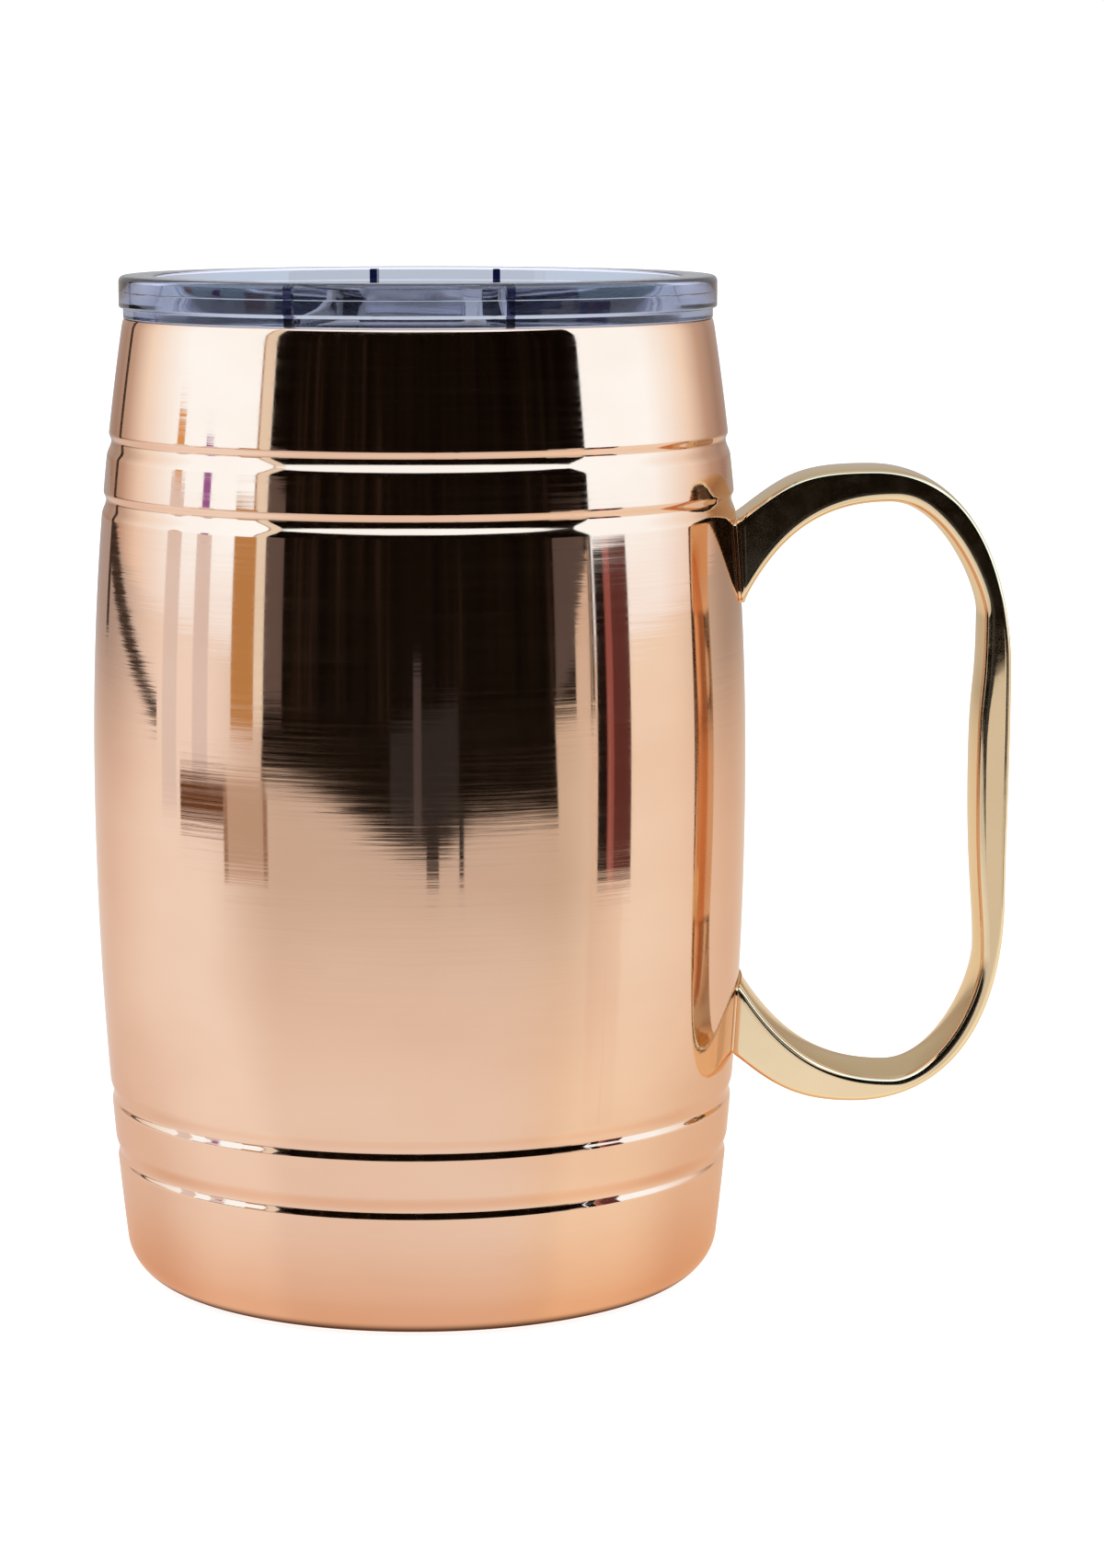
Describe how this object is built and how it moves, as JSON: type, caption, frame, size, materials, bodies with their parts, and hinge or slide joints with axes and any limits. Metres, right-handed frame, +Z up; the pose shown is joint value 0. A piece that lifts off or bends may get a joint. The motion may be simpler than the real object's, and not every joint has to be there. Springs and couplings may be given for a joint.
{
  "type": "barrel mug",
  "caption": "Double-walled barrel-shaped drinking mug with a bent strap handle and a clear plug lid whose slider uncovers a drinking hole.",
  "frame": {"origin": "centre of the base's flat face, on the mug's axis", "axes": "+Z up the mug's axis, +X from the axis towards the handle, -Y towards the drinking side"},
  "size_m": [0.1316, 0.0938, 0.1445],
  "materials": {
    "copper_plate": "mirror-polished rose copper plating with very fine circumferential brush lines",
    "liner_steel": "satin spun stainless steel",
    "gold_plate": "polished pale champagne-gold plating",
    "screw_steel": "machined steel",
    "clear_plastic": "clear moulded plastic with a faint violet-blue tint",
    "silicone": "translucent matte silicone"
  },
  "bodies": {
    "mug": {"outer_shell": "copper_plate", "inner_liner": "liner_steel", "base_plate": "copper_plate", "handle": "gold_plate", "handle_screws": "screw_steel", "screw_saddles": "screw_steel"},
    "lid": {"lid_body": "clear_plastic", "lid_gasket": "silicone"},
    "slider": {"lid_slider": "clear_plastic", "slider_clip": "clear_plastic", "slider_seal": "silicone"}
  },
  "joints": [
    {"name": "lid_lift", "type": "slide", "parent": "mug", "child": "lid", "axis": [0, 0, 1], "range_m": [0, 0.03]},
    {"name": "slider_slide", "type": "slide", "parent": "lid", "child": "slider", "axis": [0.0419, 0.9991, 0], "range_m": [0, 0.016]}
  ]
}
